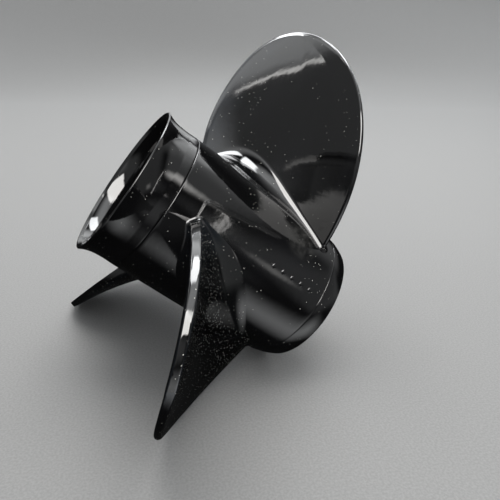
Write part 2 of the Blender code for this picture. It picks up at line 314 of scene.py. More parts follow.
# %% Dull smears from handling
def build_smear_group():
    """Soft dull patches, drawn out in one direction as a cloth leaves them."""
    group, start, end = new_group(
        "handling_smears",
        [("Patch Size", 0.05), ("Amount", 0.5)],
        [("Mask", "NodeSocketFloat")],
    )
    tree = group
    coords = tree.nodes.new("ShaderNodeTexCoord").outputs["Object"]
    stretch = tree.nodes.new("ShaderNodeMapping")
    stretch.inputs["Rotation"].default_value = (0.3, 0.5, 0.9)
    stretch.inputs["Scale"].default_value = (1.0, 3.5, 1.0)
    tree.links.new(coords, stretch.inputs["Vector"])
    scale = math_node(tree, "DIVIDE", 1.0, start.outputs["Patch Size"])
    patches = noise_node(tree, stretch.outputs["Vector"], scale, 5.0)
    mask = math_node(tree, "MULTIPLY", range_node(tree, patches, 0.50, 0.72), start.outputs["Amount"])
    tree.links.new(mask, end.inputs["Mask"])
    return group


SMEARS = build_smear_group()
print("built", SMEARS.name)

# %% [markdown]
# ## The finishes
#
# The casting is sprayed gloss black. Under the gloss it is nearly as dark as a surface can be, so
# its whole look comes from what it mirrors: a low roughness, the orange peel in the bump and the
# dust in the colour do the work. The bush is moulded rubber, dull and slightly grained. The
# sleeve is turned brass, with a fine noise grain in its bump, and its colour has darkened in use.

# %% Start a material
def new_material(name, roughness, metallic):
    """A material with its Principled shader, returned with its node tree and the shader."""
    material = bpy.data.materials.new(name)
    material.use_nodes = True
    shader = material.node_tree.nodes["Principled BSDF"]
    shader.inputs["Roughness"].default_value = roughness
    shader.inputs["Metallic"].default_value = metallic
    return material, material.node_tree, shader


def use_group(tree, group, **values):
    """Place a shader group in a tree with its own values, named with underscores for spaces."""
    node = tree.nodes.new("ShaderNodeGroup")
    node.node_tree = group
    for label, value in values.items():
        node.inputs[label.replace("_", " ")].default_value = value
    return node


def mix_colours(tree, mask, under, over):
    """Mix two colours by a mask. Each is a colour or another node's output."""
    mix = tree.nodes.new("ShaderNodeMix")
    mix.data_type = "RGBA"
    tree.links.new(mask, mix.inputs["Factor"])
    for label, given in (("A", under), ("B", over)):
        socket = next(s for s in mix.inputs if s.name == label and s.type == "RGBA")
        if isinstance(given, tuple):
            socket.default_value = (*given, 1.0)
        else:
            tree.links.new(given, socket)
    return next(s for s in mix.outputs if s.type == "RGBA")


def bump_into(tree, shader, height, strength, distance):
    """Feed a height to the shader's normal."""
    bump = tree.nodes.new("ShaderNodeBump")
    bump.inputs["Strength"].default_value = strength
    bump.inputs["Distance"].default_value = distance
    tree.links.new(height, bump.inputs["Height"])
    tree.links.new(bump.outputs["Normal"], shader.inputs["Normal"])


# %% Gloss black paint
WORN_TURN = math.radians(-62.0)
WORN_STATION = 0.0350
WORN_SIZE = 0.0125


def worn_patch(tree, coords):
    """A soft round patch where the paint was rubbed matt, beside a leading edge's root."""
    place_on_shaft = (0.0405 * math.cos(WORN_TURN), 0.0405 * math.sin(WORN_TURN), WORN_STATION)
    middle = SHAFT @ Vector(place_on_shaft)
    away = tree.nodes.new("ShaderNodeVectorMath")
    away.operation = "DISTANCE"
    tree.links.new(coords, away.inputs[0])
    away.inputs[1].default_value = middle
    near = range_node(tree, away.outputs["Value"], WORN_SIZE, 0.3 * WORN_SIZE)
    return math_node(tree, "MULTIPLY", near, range_node(tree, noise_node(tree, coords, 260.0, 3.0), 0.3, 0.7))


def attribute(tree, name):
    """A number that a mesh carries on its points. It is 0 on a mesh without it."""
    node = tree.nodes.new("ShaderNodeAttribute")
    node.attribute_name = name
    return node.outputs["Fac"]


def margin_haze(tree, coords):
    """A thin haze along the blades' trailing margin, broken up like wiped dust."""
    margin = attribute(tree, "margin")
    on_blade = range_node(tree, margin, 0.0, 0.0004)
    near = math_node(tree, "MULTIPLY", on_blade, range_node(tree, margin, 0.020, 0.0))
    return math_node(tree, "MULTIPLY", near, range_node(tree, noise_node(tree, coords, 55.0, 5.0), 0.35, 0.72))


def make_paint():
    material, tree, shader = new_material("gloss_black_paint", 0.10, 0.0)
    coords = tree.nodes.new("ShaderNodeTexCoord").outputs["Object"]
    dust = use_group(tree, DUST, Grain_Size=0.0007, Facing_Up=0.4)
    more = math_node(tree, "MULTIPLY_ADD", attribute(tree, "dusty"), 0.22, 0.035)
    tree.links.new(more, dust.inputs["Amount"])
    specks = dust.outputs["Mask"]
    smears = use_group(tree, SMEARS, Patch_Size=0.07, Amount=0.6).outputs["Mask"]
    peel = use_group(tree, PEEL, Wave_Size=0.0045, Fine_Share=0.12, Swell=2.0).outputs["Height"]
    worn = worn_patch(tree, coords)
    haze = margin_haze(tree, coords)
    paint = mix_colours(tree, smears, (0.0012, 0.0012, 0.0013), (0.0025, 0.0026, 0.0030))
    paint = mix_colours(tree, haze, paint, (0.0060, 0.0075, 0.0100))
    paint = mix_colours(tree, worn, paint, (0.0120, 0.0120, 0.0115))
    tree.links.new(mix_colours(tree, specks, paint, (0.15, 0.15, 0.14)), shader.inputs["Base Color"])
    gloss = math_node(tree, "MULTIPLY_ADD", smears, 0.08, 0.055)
    gloss = math_node(tree, "MULTIPLY_ADD", worn, 0.34, gloss)
    gloss = math_node(tree, "MULTIPLY_ADD", haze, 0.10, gloss)
    tree.links.new(math_node(tree, "MAXIMUM", gloss, math_node(tree, "MULTIPLY", specks, 0.8)),
                   shader.inputs["Roughness"])
    bump_into(tree, shader, peel, 0.25, 0.00012)
    return material


PAINT = make_paint()
print("made", PAINT.name)


# %% Moulded rubber
def make_rubber():
    material, tree, shader = new_material("bush_rubber", 0.65, 0.0)
    coords = tree.nodes.new("ShaderNodeTexCoord").outputs["Object"]
    grain = noise_node(tree, coords, 1800.0, 4.0)
    bloom = range_node(tree, noise_node(tree, coords, 90.0, 4.0), 0.45, 0.7)
    dust = use_group(tree, DUST, Grain_Size=0.0009, Amount=0.05, Facing_Up=0.3).outputs["Mask"]
    rubber = mix_colours(tree, bloom, (0.018, 0.018, 0.018), (0.040, 0.039, 0.037))
    tree.links.new(mix_colours(tree, dust, rubber, (0.4, 0.39, 0.37)), shader.inputs["Base Color"])
    tree.links.new(range_node(tree, bloom, 0.0, 1.0, 0.55, 0.78), shader.inputs["Roughness"])
    bump_into(tree, shader, grain, 0.5, 0.0001)
    return material


RUBBER = make_rubber()
print("made", RUBBER.name)


# %% Turned brass
def make_brass():
    material, tree, shader = new_material("sleeve_brass", 0.3, 1.0)
    coords = tree.nodes.new("ShaderNodeTexCoord").outputs["Object"]
    grooves = noise_node(tree, coords, 2600.0, 3.0)
    tarnish = range_node(tree, noise_node(tree, coords, 130.0, 6.0), 0.42, 0.68)
    brass = mix_colours(tree, tarnish, (0.62, 0.44, 0.19), (0.30, 0.19, 0.08))
    tree.links.new(brass, shader.inputs["Base Color"])
    tree.links.new(range_node(tree, tarnish, 0.0, 1.0, 0.24, 0.5), shader.inputs["Roughness"])
    bump_into(tree, shader, grooves, 0.3, 0.00005)
    return material


BRASS = make_brass()
print("made", BRASS.name)

# %% [markdown]
# ## The barrel
#
# The outer barrel is a casting that was turned true: a tube with a faint bulge, a band at the
# nose that rounds in to the front rim, and a small step behind that band. A lathe makes such a
# shape, so the barrel is one outline turned round the shaft. Its corners are rounded by a few
# tenths of a millimetre, which is what draws the thin lines of light along its ends.

# %% The barrel's radii
BARREL_RADIUS = 0.0400
BARREL_BULGE = 0.00056
BULGE_SKEW = 0.61
NOSE_LENGTH = 0.0112
NOSE_RADIUS = 0.0367
NOSE_STEP = 0.0004
BORE_FRONT_RADIUS = 0.0349
BORE_REAR_RADIUS = 0.0364
LATHE_STEPS = 384


def barrel_radius(station):
    """Outer radius of the barrel: a faint bulge, fullest about a third of the way back."""
    along = (station - NOSE_LENGTH) / (BARREL_LENGTH - NOSE_LENGTH)
    along = min(max(along, 0.0), 1.0)
    return BARREL_RADIUS + BARREL_BULGE * math.sin(math.pi * along ** BULGE_SKEW)


def nose_radius(station):
    """Outer radius of the nose band, which rounds in to the front rim."""
    top = BARREL_RADIUS - NOSE_STEP
    return NOSE_RADIUS + (top - NOSE_RADIUS) * math.sin(0.5 * math.pi * station / NOSE_LENGTH)


def bore_radius(station):
    """Inner radius of the barrel, which opens towards the rear as a casting's core does."""
    return BORE_FRONT_RADIUS + (BORE_REAR_RADIUS - BORE_FRONT_RADIUS) * station / BARREL_LENGTH


# %% Turn the barrel
SEAM_ROUNDING = 0.00035
GROOVE_HALF_WIDTH = 0.00022
GROOVE_DEPTH = 0.0006
RIM_ROUNDING = 0.0006


def make_barrel():
    rear = spread(BARREL_LENGTH - 0.0015, NOSE_LENGTH + 0.0010, 48)
    nose = spread(NOSE_LENGTH - 0.0004, 0.0012, 16)
    corners = [(barrel_radius(BARREL_LENGTH), BARREL_LENGTH, SEAM_ROUNDING)]
    corners += [(barrel_radius(station), station, 0.0) for station in rear]
    corners.append((BARREL_RADIUS, NOSE_LENGTH + GROOVE_HALF_WIDTH, 0.00008))
    corners.append((BARREL_RADIUS - GROOVE_DEPTH, NOSE_LENGTH, 0.0))
    corners += [(nose_radius(station), station, 0.0) for station in nose]
    corners.append((NOSE_RADIUS, 0.0, RIM_ROUNDING))
    corners.append((bore_radius(0.0), 0.0, RIM_ROUNDING))
    corners += [(bore_radius(station), station, 0.0) for station in spread(0.002, BARREL_LENGTH - 0.002, 24)]
    corners.append((bore_radius(BARREL_LENGTH), BARREL_LENGTH, 0.0003))
    return turned("barrel", rounded(corners), LATHE_STEPS)


barrel = place("barrel", make_barrel(), [PAINT], ["hub_barrel"], 40.0)

# %% [markdown]
# ## The diffuser ring
#
# A ring is pressed into the rear end. It narrows a little behind the seam and then flares out to
# a thin rim, so that the exhaust leaves the hub cleanly. It is also turned. Its rim is the
# brightest line of the whole propeller, so the rim's rounding gets plenty of points.

# %% Turn the diffuser ring
FLARE_START = 0.1120
WAIST_RADIUS = 0.0397
RING_WALL = 0.0026
RIM_LIP = 0.0014
SPIGOT_LENGTH = 0.0090
SPIGOT_WALL = 0.0022
SEAT_GAP = 0.0003


def flare_radius(station):
    """Outer radius of the ring, from its seam over the waist to the flared rim."""
    if station < FLARE_START:
        along = (station - BARREL_LENGTH) / (FLARE_START - BARREL_LENGTH)
        return BARREL_RADIUS + (WAIST_RADIUS - BARREL_RADIUS) * along
    along = (station - FLARE_START) / (RIM_PLANE - FLARE_START)
    return WAIST_RADIUS + (RIM_RADIUS - WAIST_RADIUS) * along ** 3


def make_ring():
    seam = BARREL_LENGTH + SEAT_GAP
    spigot = bore_radius(BARREL_LENGTH - SPIGOT_LENGTH) - SEAT_GAP
    outer = spread(RIM_PLANE - 0.0010, seam + 0.0008, 40)
    inner = spread(FLARE_START - 0.003, RIM_PLANE - RIM_LIP - 0.0004, 32)
    corners = [(RIM_RADIUS, RIM_PLANE, 0.00045)]
    corners += [(flare_radius(station), station, 0.0) for station in outer]
    corners.append((flare_radius(seam), seam, SEAM_ROUNDING))
    corners.append((spigot, seam, 0.0))
    corners.append((spigot, seam - SPIGOT_LENGTH, 0.0004))
    corners.append((spigot - SPIGOT_WALL, seam - SPIGOT_LENGTH, 0.0006))
    corners.append((spigot - SPIGOT_WALL, seam, 0.0))
    corners += [(flare_radius(station) - RING_WALL, station, 0.0) for station in inner]
    corners.append((flare_radius(RIM_PLANE - RIM_LIP) - RING_WALL, RIM_PLANE - RIM_LIP, 0.0003))
    corners.append((RIM_RADIUS - RIM_LIP, RIM_PLANE, 0.00045))
    return turned("ring", rounded(corners), LATHE_STEPS)


ring = place("ring", make_ring(), [PAINT], ["diffuser_ring"], 40.0)

# %% [markdown]
# ## A tree of Geometry Nodes that wraps a blade on its screw
#
# A propeller blade is a piece of a screw, like a thread with a very long pitch. Its drawing is
# simple when it is unrolled: how far a point is along the screw line, how far off it, and how
# high over the barrel. So the blade is first made flat, in those three lengths, and a tree of
# nodes then bends it round the shaft. The rule sits in the tree with named inputs, so another
# pitch or rake is one number, and the three blades differ only in their Turn.

# %% Sums in a node tree
class Sums:
    """Adds Math nodes to a geometry tree. Each call returns the result's socket."""

    def __init__(self, tree):
        self.tree = tree

    def __call__(self, operation, first, second=None, third=None):
        return math_node(self.tree, operation, first, second, third)


def geometry_tree(name, inputs):
    """A geometry node tree with Geometry in and out, the named inputs, and its two ends."""
    tree = bpy.data.node_groups.new(name, "GeometryNodeTree")
    tree.interface.new_socket("Geometry", in_out="INPUT", socket_type="NodeSocketGeometry")
    for label, kind, value in inputs:
        socket = tree.interface.new_socket(label, in_out="INPUT", socket_type="NodeSocket" + kind)
        if value is not None:
            socket.default_value = value
    tree.interface.new_socket("Geometry", in_out="OUTPUT", socket_type="NodeSocketGeometry")
    return tree, tree.nodes.new("NodeGroupInput"), tree.nodes.new("NodeGroupOutput")


def finish_tree(tree, geometry, start, end):
    """End a tree with Realize Instances and Set Material, which the export needs."""
    realize = tree.nodes.new("GeometryNodeRealizeInstances")
    paint = tree.nodes.new("GeometryNodeSetMaterial")
    tree.links.new(geometry, realize.inputs["Geometry"])
    tree.links.new(realize.outputs["Geometry"], paint.inputs["Geometry"])
    tree.links.new(start.outputs["Material"], paint.inputs["Material"])
    tree.links.new(paint.outputs["Geometry"], end.inputs["Geometry"])


def grown(name, mesh, tree, **values):
    """Run a tree on a mesh with the given inputs, and return the result as a plain mesh."""
    piece = bpy.data.objects.new(name, mesh)
    bpy.context.scene.collection.objects.link(piece)
    modifier = piece.modifiers.new("grow", "NODES")
    modifier.node_group = tree
    for item in tree.interface.items_tree:
        label = item.name.replace(" ", "_")
        if item.in_out == "INPUT" and label in values:
            modifier[item.identifier] = values[label]
    graph = bpy.context.evaluated_depsgraph_get()
    result = bpy.data.meshes.new_from_object(piece.evaluated_get(graph))
    bpy.data.objects.remove(piece)
    return result


# %% The tree that bends a flat blade
def build_screw_tree():
    """Wraps a flat blade on its screw. X is along the screw line, Y off it, Z height on the barrel."""
    labels = ("Barrel Radius", "Tip Radius", "Pitch", "Station", "Rake Slope", "Rake Curve",
              "Skew Root", "Skew Tip", "Skew Power", "Bulge", "Bulge Skew", "Nose Length",
              "Barrel Length", "Turn")
    inputs = [(label, "Float", 0.0) for label in labels] + [("Material", "Material", None)]
    tree, start, end = geometry_tree("wrap_on_screw", inputs)
    take = start.outputs
    do = Sums(tree)
    flat = tree.nodes.new("ShaderNodeSeparateXYZ")
    tree.links.new(tree.nodes.new("GeometryNodeInputPosition").outputs[0], flat.inputs[0])
    across, lift, rise_over_barrel = flat.outputs

    height = do("SUBTRACT", take["Tip Radius"], take["Barrel Radius"])
    share = do("DIVIDE", rise_over_barrel, height)
    low_share = do("MAXIMUM", share, 0.0)
    radius = do("ADD", take["Barrel Radius"], rise_over_barrel)
    per_radian = do("DIVIDE", take["Pitch"], 2.0 * math.pi)
    slope = do("DIVIDE", per_radian, radius)
    run = do("INVERSE_SQRT", do("MULTIPLY_ADD", slope, slope, 1.0))
    rise = do("MULTIPLY", slope, run)
    skew = do("MULTIPLY_ADD", do("POWER", low_share, take["Skew Power"]), take["Skew Tip"], take["Skew Root"])
    rake = do("MULTIPLY", rise_over_barrel,
              do("MULTIPLY_ADD", take["Rake Curve"], rise_over_barrel, take["Rake Slope"]))

    round_shaft = do("SUBTRACT", do("MULTIPLY", across, run), do("MULTIPLY", lift, rise))
    angle = do("ADD", do("ADD", skew, take["Turn"]), do("DIVIDE", round_shaft, radius))
    along_shaft = do("MULTIPLY_ADD", across, rise, do("MULTIPLY", lift, run))
    station = do("ADD", do("MULTIPLY_ADD", per_radian, skew, take["Station"]), do("ADD", rake, along_shaft))

    body = do("SUBTRACT", take["Barrel Length"], take["Nose Length"])
    along = do("DIVIDE", do("SUBTRACT", station, take["Nose Length"]), body)
    along = do("MINIMUM", do("MAXIMUM", along, 0.0), 1.0)
    swell = do("SINE", do("MULTIPLY", do("POWER", along, take["Bulge Skew"]), math.pi))
    swell = do("MULTIPLY", do("MULTIPLY", swell, take["Bulge"]), do("SUBTRACT", 1.0, low_share))
    radius = do("ADD", radius, swell)

    bent = tree.nodes.new("ShaderNodeCombineXYZ")
    tree.links.new(do("MULTIPLY", radius, do("COSINE", angle)), bent.inputs["X"])
    tree.links.new(do("MULTIPLY", radius, do("SINE", angle)), bent.inputs["Y"])
    tree.links.new(station, bent.inputs["Z"])
    bend = tree.nodes.new("GeometryNodeSetPosition")
    tree.links.new(take["Geometry"], bend.inputs["Geometry"])
    tree.links.new(bent.outputs[0], bend.inputs["Position"])
    finish_tree(tree, bend.outputs["Geometry"], start, end)
    return tree


SCREW = build_screw_tree()
print("the screw tree has", len(SCREW.nodes), "nodes")

# %% [markdown]
# ## The flat blade
#
# Unrolled, the blade is a skewed oval that stands on the barrel. It is thickest in the middle of
# each section, its leading edge is fully round, and its trailing edge is cut square with small
# rounds. How thick it is near the edge depends on the true distance from the edge, so the helper
# looks up the nearest point of the outline. Below, the section widens into the fillet that ends
# tangent to the barrel.

# %% The blade's driving sizes
BLADE_COUNT = 3
BLADE_TURN = math.radians(-135.0)
PITCH = 0.3464
RAKE_SLOPE = 0.358
RAKE_CURVE = -1.375
BLADE_STATION = 0.0582
HALF_ANGLE = math.radians(37.6)
OUTLINE_ROUNDNESS = 1.738
OUTLINE_FULLNESS = 0.52
SKEW_ROOT = math.radians(-2.6)
SKEW_TIP = math.radians(10.8)
SKEW_POWER = 3.47
EDGE_ROOT = 0.0058
EDGE_TIP = 0.0038
CORE_ROOT = 0.0088
CORE_TIP = 0.0042
LEADING_SHARE = 0.62
TRAILING_ROUND = 0.0004
BEVEL_WIDTH = 0.0026
BEVEL_DROP = 0.0004
BLADE_HEIGHT = TIP_RADIUS - BARREL_RADIUS


def ease(start, end, share):
    """A value that goes evenly from start to end as share goes from 0 to 1."""
    return start + (end - start) * share


def screw_length(share):
    """Length along the screw line for each radian round the shaft, at this height."""
    return math.hypot(ease(BARREL_RADIUS, TIP_RADIUS, share), PITCH / (2.0 * math.pi))


def half_chord(share):
    """Half the blade's width along the screw line, at this height."""
    share = min(max(share, 0.0), 1.0)
    return screw_length(share) * HALF_ANGLE * (1.0 - share ** OUTLINE_ROUNDNESS) ** OUTLINE_FULLNESS


def lean(share):
    """How far the skew moves this height along the screw line, in the unrolled drawing."""
    return screw_length(share) * SKEW_TIP * max(share, 0.0) ** SKEW_POWER


# %% Distance from the blade's edge
def outline_points(count):
    """Points of the unrolled outline: (x, height, 0 on the leading edge or 1 on the trailing edge)."""
    points = []
    for i in range(count + 1):
        share = math.sin(0.5 * math.pi * i / count)
        for side in (0, 1):
            x = lean(share) + half_chord(share) * (2 * side - 1)
            points.append((x, share * BLADE_HEIGHT, side))
    return points


def build_edge_finder():
    points = outline_points(3000)
    finder = KDTree(len(points))
    for i, (x, height, side) in enumerate(points):
        finder.insert((x, height, 0.0), i)
    finder.balance()
    return finder


EDGE_FINDER = build_edge_finder()


def edge_distance(share, across):
    """True distance of a point of the blade from the blade's edge."""
    spot = (across + lean(share), share * BLADE_HEIGHT, 0.0)
    return EDGE_FINDER.find(spot)[2]


def edge_round(distance, radius):
    """Height of a round edge, from 0 at the edge itself to 1 where the round ends."""
    inside = min(distance, radius) / radius
    return math.sqrt(max(0.0, 1.0 - (1.0 - inside) ** 2))


# %% One section of the flat blade
CHORD_POINTS = 48
ROUND_POINTS = 9
END_POINTS = 3


def squareness(share, trailing):
    """How square the edge is: fully on the trailing side, and only round the tip on the leading one."""
    return 1.0 if trailing else min(max((share - 0.90) / 0.08, 0.0), 1.0)


def edge_slant(share, side):
    """Cosine between the chord and the straight way out over the edge, for where points gather."""
    step = 0.0005
    low, high = share - step, min(share + step, 1.0)
    moved = lean(high) - lean(low) + (half_chord(high) - half_chord(low)) * side
    return (high - low) * BLADE_HEIGHT / math.hypot(moved, (high - low) * BLADE_HEIGHT)


def chord_distances(share, edge):
    """Distances from the leading edge of one section's points, close together near both edges."""
    half = half_chord(share)
    rounds = []
    for side in (-1, 1):
        zone = min(edge / max(edge_slant(share, side), 0.01), 0.6 * half)
        turns = [0.5 * math.pi * i / ROUND_POINTS for i in range(ROUND_POINTS + 1)]
        rounds.append([zone * (1.0 - math.cos(turn)) for turn in turns])
    leading, trailing = rounds
    inner = spread(leading[-1], 2.0 * half - trailing[-1], CHORD_POINTS)[1:-1]
    return leading + inner + [2.0 * half - distance for distance in reversed(trailing)]


def edge_height(along, inside, edge, share):
    """Half the blade's thickness near its edge: thin and round in front, bevelled and square behind."""
    thin = ease(LEADING_SHARE, 1.0, max(4.0 * along - 1.0, 5.0 * share - 4.0, 0.0))
    full = edge * min(thin, 1.0)
    square = squareness(share, along > 0.5)
    corner = min(TRAILING_ROUND, full)
    bevel = BEVEL_DROP * (1.0 - min(inside / BEVEL_WIDTH, 1.0))
    cut = full - bevel - corner + corner * edge_round(inside, corner)
    return ease(full * edge_round(inside, full), cut, square)


def section(share):
    """One section as a closed loop of (across, lift): rear face, trailing end, front face, leading end."""
    half = half_chord(share)
    edge = 0.5 * ease(EDGE_ROOT, EDGE_TIP, share)
    crown = ease(CORE_ROOT, CORE_TIP, share) - 2.0 * edge
    rear = []
    front = []
    for distance in chord_distances(share, edge):
        along = distance / max(2.0 * half, 1e-9)
        height = edge_height(along, edge_distance(share, distance - half), edge, share)
        fullness = max(0.0, 4.0 * along * (1.0 - along))
        rear.append((distance - half, height))
        front.append((distance - half, -height - crown * fullness))
    steps = [1.0 - 2.0 * i / (END_POINTS + 1) for i in range(1, END_POINTS + 1)]
    trailing_end = [(rear[-1][0], rear[-1][1] * step) for step in steps]
    leading_end = [(rear[0][0], -rear[0][1] * step) for step in steps]
    return rear + trailing_end + front[::-1] + leading_end


# %% The fillet at the root
REAR_FILLET = 0.0150
FRONT_FILLET = 0.0090
END_FILLET = 0.0026
FILLET_SOFTNESS = 1.6
FILLET_ROWS = 30
BODY_ROWS = 92
FOOT_DEPTH = 0.0004


def fillet_size(across, lift, half):
    """How large the fillet is here: fullest a third of the way from the trailing edge."""
    ahead = min(max(0.5 - 0.5 * across / half, 0.0), 1.0)
    swell = math.sin(math.pi * ahead ** 0.6) ** 3
    return ease(END_FILLET, REAR_FILLET if lift > 0.0 else FRONT_FILLET, swell)


def fillet_reach(size, height):
    """How far the fillet stands out at a height. It is flatter than an arc halfway up."""
    left = (1.0 - min(height / size, 1.0)) ** FILLET_SOFTNESS
    return size * (1.0 - (1.0 - left) ** (1.0 / FILLET_SOFTNESS))


def neighbour(outline, i, step):
    """The next point of the outline, in one direction, that doesn't lie on point i itself."""
    here = Vector(outline[i])
    for j in range(1, END_POINTS + 3):
        there = Vector(outline[(i + j * step) % len(outline)])
        if (there - here).length > 1e-7:
            break
    return there


def widened(outline, height):
    """The outline moved outwards all round, by the fillet's reach at this height."""
    moved = []
    half = max(across for across, lift in outline)
    for i, (across, lift) in enumerate(outline):
        way = neighbour(outline, i, 1) - neighbour(outline, i, -1)
        out = Vector((-way.y, way.x)).normalized()
        reach = fillet_reach(fillet_size(across, lift, half), height)
        moved.append((across + reach * out.x, lift + reach * out.y))
    return moved


def flat_rows():
    """Rows of the flat blade from its foot to its tip, as points (across, lift, height)."""
    rows = [[(across, lift, -FOOT_DEPTH) for across, lift in widened(section(0.0), 0.0)]]
    largest = max(REAR_FILLET, FRONT_FILLET)
    for row in range(FILLET_ROWS + 1):
        height = largest * (row / FILLET_ROWS) ** FILLET_SOFTNESS
        outline = widened(section(height / BLADE_HEIGHT), height)
        rows.append([(across, lift, height) for across, lift in outline])
    root_share = largest / BLADE_HEIGHT
    for row in range(1, BODY_ROWS + 1):
        share = ease(root_share, 1.0, math.sin(0.5 * math.pi * row / BODY_ROWS))
        rows.append([(across, lift, share * BLADE_HEIGHT) for across, lift in section(share)])
    return rows


def flat_blade():
    """The flat blade as a mesh: the rows, with a plain cap inside the barrel's wall."""
    rows = flat_rows()
    mesh = skin("flat_blade", rows, wrap=False)
    shape = bmesh.new()
    shape.from_mesh(mesh)
    shape.verts.ensure_lookup_table()
    foot = shape.verts[:len(rows[0])]
    count = len(foot) // 2 - END_POINTS
    last = 2 * count + END_POINTS - 1
    for i in range(count - 1):
        shape.faces.new((foot[i], foot[i + 1], foot[last - i - 1], foot[last - i]))
    shape.faces.new(foot[count - 1:count + END_POINTS + 1])
    shape.faces.new(foot[last:] + foot[:1])
    shape.to_mesh(mesh)
    shape.free()
    dusty = mesh.attributes.new("dusty", "FLOAT", "POINT")
    margin = mesh.attributes.new("margin", "FLOAT", "POINT")
    for i, (across, lift, height) in enumerate(point for row in rows for point in row):
        half = half_chord(height / BLADE_HEIGHT)
        dusty.data[i].value = 1.0 if lift < 0.0 else 0.0
        margin.data[i].value = max(half - across, 0.0)
    close_up(mesh, 32.0)
    return mesh


FLAT_BLADE = flat_blade()
print("the flat blade has", len(FLAT_BLADE.vertices), "points")

# %% Wrap the three blades
SCREW_SIZES = {
    "Barrel_Radius": BARREL_RADIUS,
    "Tip_Radius": TIP_RADIUS,
    "Pitch": PITCH,
    "Station": BLADE_STATION,
    "Rake_Slope": RAKE_SLOPE,
    "Rake_Curve": RAKE_CURVE,
    "Skew_Root": SKEW_ROOT,
    "Skew_Tip": SKEW_TIP,
    "Skew_Power": SKEW_POWER,
    "Bulge": BARREL_BULGE,
    "Bulge_Skew": BULGE_SKEW,
    "Nose_Length": NOSE_LENGTH,
    "Barrel_Length": BARREL_LENGTH,
    "Material": PAINT,
}

for number in range(1, BLADE_COUNT + 1):
    turn = BLADE_TURN + 2.0 * math.pi * (number - 1) / BLADE_COUNT
    wrapped = grown("blade", FLAT_BLADE, SCREW, Turn=turn, **SCREW_SIZES)
    place(f"blade_skin_{number}", wrapped, [PAINT], [f"blade_{number}"], 32.0)

# %% [markdown]
# ## Inside the barrel
#
# From either end one looks past the webs at the inner hub, the rubber bush and the splined
# sleeve. The hub, the bush and the sleeve are turned like the barrel. Only the sleeve's bore is
# not round: its radius goes up and down twelve times on the way round, so the same helper is
# used with a radius that depends on the angle.

# %% Inner hub and rubber bush
INNER_HUB_RADIUS = 0.0260
INNER_HUB_BORE = 0.0215
INNER_HUB_FRONT = 0.0060
INNER_HUB_REAR = 0.0840
BUSH_FRONT = 0.0100
BUSH_REAR = 0.0800
BUSH_DISH = 0.0020
SLEEVE_RADIUS = 0.0123
SLEEVE_REAR = 0.0860


def make_inner_hub():
    corners = [
        (INNER_HUB_RADIUS, INNER_HUB_REAR, 0.0014),
        (INNER_HUB_RADIUS, INNER_HUB_FRONT, 0.0014),
        (INNER_HUB_BORE, INNER_HUB_FRONT, 0.0006),
        (INNER_HUB_BORE, INNER_HUB_REAR, 0.0006),
    ]
    return turned("inner_hub", rounded(corners), 192)


def make_bush():
    outside = INNER_HUB_BORE - SEAT_GAP
    inside = SLEEVE_RADIUS + SEAT_GAP
    bow = [0.5 * math.pi * i / 8 for i in range(1, 16)]
    width = 0.5 * (outside - inside)
    middle = 0.5 * (outside + inside)
    outline = [Vector((outside, BUSH_REAR)), Vector((outside, BUSH_FRONT))]
    outline += [Vector((middle + width * math.cos(turn), BUSH_FRONT + BUSH_DISH * math.sin(turn)))
                for turn in bow]
    outline += [Vector((inside, BUSH_FRONT)), Vector((inside, BUSH_REAR))]
    outline += [Vector((middle - width * math.cos(turn), BUSH_REAR - BUSH_DISH * math.sin(turn)))
                for turn in bow]
    return turned("bush", outline, 160)


inner_hub = place("hub_tube", make_inner_hub(), [PAINT], ["inner_hub"])
bush = place("bush", make_bush(), [RUBBER], ["rubber_bush"])

# %% The splined sleeve
SPLINE_ROOT_RADIUS = 0.0097
SPLINE_TIP_RADIUS = 0.0084
SPLINE_TEETH = 12
TOOTH_STEPS = 20


def tooth_height(angle):
    """How far a tooth stands in at this angle: 1 on its flat tip, 0 in the gap, smooth between."""
    share = (angle * SPLINE_TEETH / (2.0 * math.pi) + 0.5) % 1.0 - 0.5
    flank = min(max((0.38 - abs(share)) / (0.38 - 0.17), 0.0), 1.0)
    return flank * flank * (3.0 - 2.0 * flank)


def make_sleeve():
    steps = SPLINE_TEETH * TOOTH_STEPS
    chamfer = 0.0008
    outside = rounded([
        (SLEEVE_RADIUS, SLEEVE_REAR, 0.0006),
        (SLEEVE_RADIUS, SLEEVE_FRONT, 0.0006),
        (0.5 * (SLEEVE_RADIUS + SPLINE_ROOT_RADIUS), SLEEVE_FRONT, 0.0),
        (0.5 * (SLEEVE_RADIUS + SPLINE_ROOT_RADIUS), SLEEVE_REAR, 0.0),
    ])[:-2]
    rows = []
    for step in range(steps):
        angle = 2.0 * math.pi * step / steps
        depth = (SPLINE_ROOT_RADIUS - SPLINE_TIP_RADIUS) * tooth_height(angle)
        bore = [
            (SPLINE_ROOT_RADIUS + chamfer, SLEEVE_FRONT),
            (SPLINE_ROOT_RADIUS, SLEEVE_FRONT + chamfer),
            (SPLINE_ROOT_RADIUS - depth, SLEEVE_FRONT + chamfer + depth),
            (SPLINE_ROOT_RADIUS - depth, SLEEVE_REAR - chamfer - depth),
            (SPLINE_ROOT_RADIUS, SLEEVE_REAR - chamfer),
            (SPLINE_ROOT_RADIUS + chamfer, SLEEVE_REAR),
        ]
        outline = list(outside) + bore
        rows.append([(radius * math.cos(angle), radius * math.sin(angle), station)
                     for radius, station in outline])
    return skin("sleeve", rows, wrap=True)


sleeve = place("sleeve", make_sleeve(), [BRASS], ["spline_sleeve"])

# %% [markdown]
# ## Webs, repeated round the shaft
#
# Three webs carry the inner hub in the barrel. Cast webs meet the walls in small fillets, or they
# would crack there. One web is drawn as an outline seen from behind, drawn out along the shaft,
# and a tree of nodes repeats it round the shaft. The same tree serves everything else here that
# comes three times.

